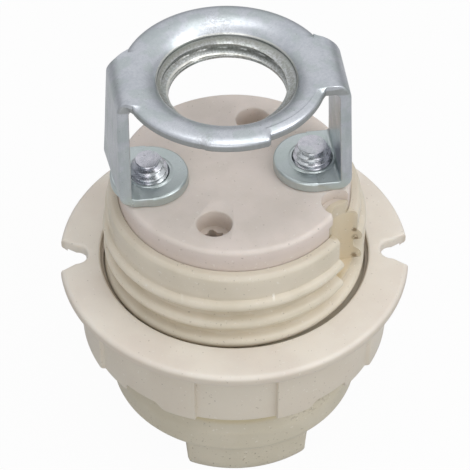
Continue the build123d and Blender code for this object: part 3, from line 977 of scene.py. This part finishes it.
def plated(name, light, dark, streaks, rough, scratch, marks_and_painted_light=None):
    """Zinc plate: bluish metal, faintly clouded, with fine lines along the sheet's rolling direction."""
    f = Finish(name)
    cloud = f.mottle(2.6, detail=4.0, rough=0.5)
    line = f.mottle(0.42, detail=4.0, rough=0.6, stretch=streaks, shift=7.0)
    grit = f.mottle(0.13, detail=2.0, rough=0.6, shift=51.0)
    colour = f.mix(f.step(0.4 * cloud + 0.4 * line + 0.2 * grit, 0.38, 0.62), light, dark)
    green = f.step(f.mottle(1.5, detail=3.0, shift=41.0), 0.48, 0.6)
    colour = f.mix(green * 0.35, colour, tone(176, 190, 184))
    pits = f.step(f.mottle(0.2, detail=2.0, shift=17.0), 0.68, 0.76)
    colour = f.mix(pits * 0.4, colour, tone(120, 120, 116))
    shine = rough + 0.12 * (cloud - 0.5) + 0.14 * (line - 0.5) + 0.2 * (grit - 0.5) + 0.15 * pits
    rubs = grit * scratch * 0.5
    # the bracket's marks also paint light and shade on it
    if marks_and_painted_light:
        colour, shine, scuffs = marks_and_painted_light(f, colour, shine)
        rubs = rubs + scuffs
    normal = f.relief(f.mottle(1.1, detail=2.0, rough=0.4, shift=3.0), 0.006)
    normal = f.relief(line * scratch + rubs, 1.0, normal)
    return f.close({
        "Base Color": colour,
        "Metallic": 1.0,
        "Roughness": shine,
        "Normal": normal,
    })


def bracket_wear_and_painted_light(f, colour, shine):
    """The bracket's own marks and painted light: greener feet, a dull cut edge round the eyelet, a gritty
    thread with a painted reflection, painted shade in its valleys and run-out, painted highlights on its
    ridges and mouth, and scuffs from punching."""
    foot = 1 - f.step(f.z, 26.0, 26.6)
    colour = f.mix(foot * 0.6, colour, tone(196, 208, 204))
    beside = f.x + EYELET_SHIFT
    away = (beside * beside + f.y * f.y) ** 0.5
    cut = f.step(away, 7.1, 7.3) * f.between(f.z, 34.2, 34.4, 34.86, 35.0) * f.step(abs(f.y), 2.4, 2.8)
    colour = f.mix(cut * 0.6, colour, tone(146, 148, 142))
    # painted reflection: the collar's thread tinted warm grey, as if mirroring the cream plastic
    thread = (1 - f.step(away, 5.0, 5.3)) * f.between(f.z, 32.0, 32.4, 34.2, 34.4)
    colour = f.mix(thread * 0.3, colour, tone(186, 186, 172))
    # painted shade in the thread's valleys
    valley_shade = thread * f.step(away, 4.66, 4.84)
    colour = f.mix(valley_shade * 0.3, colour, tone(130, 130, 120))
    # painted shade: a dark line in the tap's run-out hollow
    run_out = (1 - f.step(away, 5.4, 5.7)) * f.between(f.z, 34.12, 34.2, 34.3, 34.38)
    colour = f.mix(run_out * 0.6, colour, tone(120, 120, 108))
    gritty = f.step(f.mottle(0.16, detail=3.0, shift=81.0), 0.4, 0.6) * thread
    colour = f.mix(gritty * 0.45, colour, tone(128, 128, 116))
    # painted highlights: the thread's ridge tips above its plain foot, and a line along the mouth, made
    # bright
    crest = thread * (1 - f.step(away, 4.5, 4.62)) * f.step(f.z, 32.95, 33.05)
    mouth_highlight = (1 - f.step(away, 5.6, 5.9)) * f.between(f.z, 34.38, 34.44, 34.5, 34.58)
    colour = f.mix((crest + mouth_highlight) * 0.7, colour, tone(234, 234, 226))
    rubbed = f.near(*MOUTH_SCUFF) * f.step(f.mottle(0.14, detail=3.0, shift=61.0), 0.42, 0.6)
    rubbed = rubbed + f.near(*STUB_SCUFF) * f.step(f.mottle(0.12, detail=3.0, shift=71.0), 0.4, 0.6)
    colour = f.mix(rubbed * 0.3, colour, tone(150, 150, 146))
    shine = shine + 0.22 * cut + 0.15 * rubbed + 0.1 * gritty
    return colour, shine, rubbed * 0.006


# Scene

def materials():
    return {
        "body": body_plastic(),
        "cap": cap_plastic(),
        "ring": ring_plastic(),
        "sheet": plated(
            "zinc plated sheet", tone(207, 211, 216), tone(191, 196, 202),
            (1.6, 1.6, 0.12), 0.33, 0.0015, bracket_wear_and_painted_light,
        ),
        "screw": plated(
            "zinc plated screw", tone(220, 219, 225), tone(200, 201, 208), (1, 1, 1), 0.24, 0.001
        ),
        "contact": plated("nickel strip", tone(206, 200, 186), tone(186, 178, 160), (1, 0.3, 1), 0.32, 0.001),
        "spring": plated("spring strip", tone(196, 196, 194), tone(176, 174, 170), (1, 0.3, 1), 0.3, 0.001),
    }


def lamp(name, place, aim, size, strength, colour=(1, 1, 1)):
    """Square softbox; strength 1 lights a plain facing surface so that its colour renders as written."""
    light = bpy.data.lights.new(name, "AREA")
    light.shape = "SQUARE"
    light.size = size
    light.color = colour
    distance = (Vector(place) - Vector(aim)).length
    light.energy = strength * pi * pi * distance * distance
    shown = bpy.data.objects.new(name, light)
    shown.location = place
    shown.rotation_euler = (Vector(aim) - Vector(place)).to_track_quat("-Z", "Y").to_euler()
    bpy.context.collection.objects.link(shown)
    return shown


def floor():
    finish = Finish("white table")
    seen = finish.node("ShaderNodeLightPath", {}, {}, "Is Camera Ray")
    glossy = finish.node("ShaderNodeLightPath", {}, {}, "Is Glossy Ray")
    through = finish.node("ShaderNodeLightPath", {}, {}, "Is Transmission Ray")
    direct = seen * 0.965 + glossy * 0.2 + through * 0.965
    lit = finish.node("ShaderNodeBsdfDiffuse", {}, {"Color": (0.55, 0.55, 0.55, 1)})
    white = finish.node("ShaderNodeEmission", {}, {"Color": (1, 1, 1, 1), "Strength": 1.0})
    shader = finish.node("ShaderNodeMixShader", {}, {0: direct, 1: lit, 2: white})
    finish.node("ShaderNodeOutputMaterial", {}, {"Surface": shader}, None)
    table = made("table", [(-4, -4, 0), (4, -4, 0), (4, 4, 0), (-4, 4, 0)], [(0, 1, 2, 3)])
    table.data.materials.append(finish.material)


def surroundings():
    """Pale world: white where it is seen. As light it is a soft sky, bright above and dimmer at the sides,
    and the plated metal mirrors one with more contrast."""
    world = bpy.data.worlds.new("pale room")
    bpy.context.scene.world = world
    room = Finish("pale room", world)
    way = room.node("ShaderNodeTexCoord", {}, {}, "Generated")
    up = room.node("ShaderNodeSeparateXYZ", {}, {0: way}, "Z")
    sky = room.node("ShaderNodeValToRGB", {"stops": [
        (0.0, (0.4, 0.4, 0.4)), (0.3, (0.38, 0.38, 0.39)),
        (0.65, (0.58, 0.58, 0.6)), (1.0, (0.7, 0.7, 0.72)),
    ]}, {0: up})
    mirrored = room.node("ShaderNodeValToRGB", {"stops": [
        (0.0, (0.35, 0.35, 0.36)), (0.15, (0.42, 0.42, 0.43)),
        (0.45, (0.8, 0.8, 0.82)), (0.9, (0.86, 0.86, 0.88)),
    ]}, {0: up})
    seen = room.node("ShaderNodeLightPath", {}, {}, "Is Camera Ray")
    glossy = room.node("ShaderNodeLightPath", {}, {}, "Is Glossy Ray")
    colour = room.mix(seen, room.mix(glossy, sky, mirrored), (1, 1, 1, 1))
    shader = room.node("ShaderNodeBackground", {}, {"Color": colour, "Strength": 1.0})
    room.node("ShaderNodeOutputWorld", {}, {"Surface": shader}, None)


def camera():
    up = radians(CAMERA_ELEVATION)
    turn = radians(CAMERA_AZIMUTH)
    back = Vector((sin(turn) * cos(up), -cos(turn) * cos(up), sin(up)))
    right = Vector((cos(turn), sin(turn), 0))
    aim = Vector((0, 0, CAMERA_AIM_HEIGHT)) + right * CAMERA_SIDE_SHIFT
    lens = bpy.data.cameras.new("camera")
    lens.lens = CAMERA_LENS
    lens.sensor_width = 36
    lens.sensor_fit = "HORIZONTAL"
    lens.clip_start = 0.005
    eye = bpy.data.objects.new("camera", lens)
    look = (-back).to_track_quat("-Z", "Y").to_matrix().to_4x4()
    place = Matrix.Translation((aim + back * CAMERA_DISTANCE) * MM)
    eye.matrix_world = place @ look @ Matrix.Rotation(radians(CAMERA_ROLL), 4, "Z")
    bpy.context.collection.objects.link(eye)
    bpy.context.scene.camera = eye


def build():
    finish = materials()
    fitted(threaded_body(), finish["body"], "holder", "threaded_body", 42)
    fitted(terminal_cap(), finish["cap"], "holder", "terminal_cap", 42)
    fitted(shade_ring(), finish["ring"], "ring", "shade_ring", 42)
    fitted(mounting_bracket(), finish["sheet"], "holder", "mounting_bracket", 42)
    for node, side, tip_radius in (("screw_left", -1, 1.0), ("screw_right", 1, 1.14)):
        fitted(screw(node + ".threaded", side, tip_radius), finish["screw"], "holder", node, 50)
    for node, material in (
        ("contact_front", "contact"),
        ("contact_back", "contact"),
        ("clamp_spring_front", "spring"),
        ("clamp_spring_back", "spring"),
    ):
        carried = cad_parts[node]
        carried.data.materials.clear()
        carried.data.materials.append(finish[material])


build()
floor()
surroundings()
camera()
lamp("overhead", (0.02, -0.03, 0.42), (0, 0, 0.02), 0.3, 0.22)
lamp("key", (0.28, -0.16, 0.3), (0, 0, 0.02), 0.3, 0.3)
lamp("front", (-0.1, -0.42, 0.14), (0, 0, 0.02), 0.34, 0.2)

bpy.context.scene.view_settings.view_transform = "Standard"
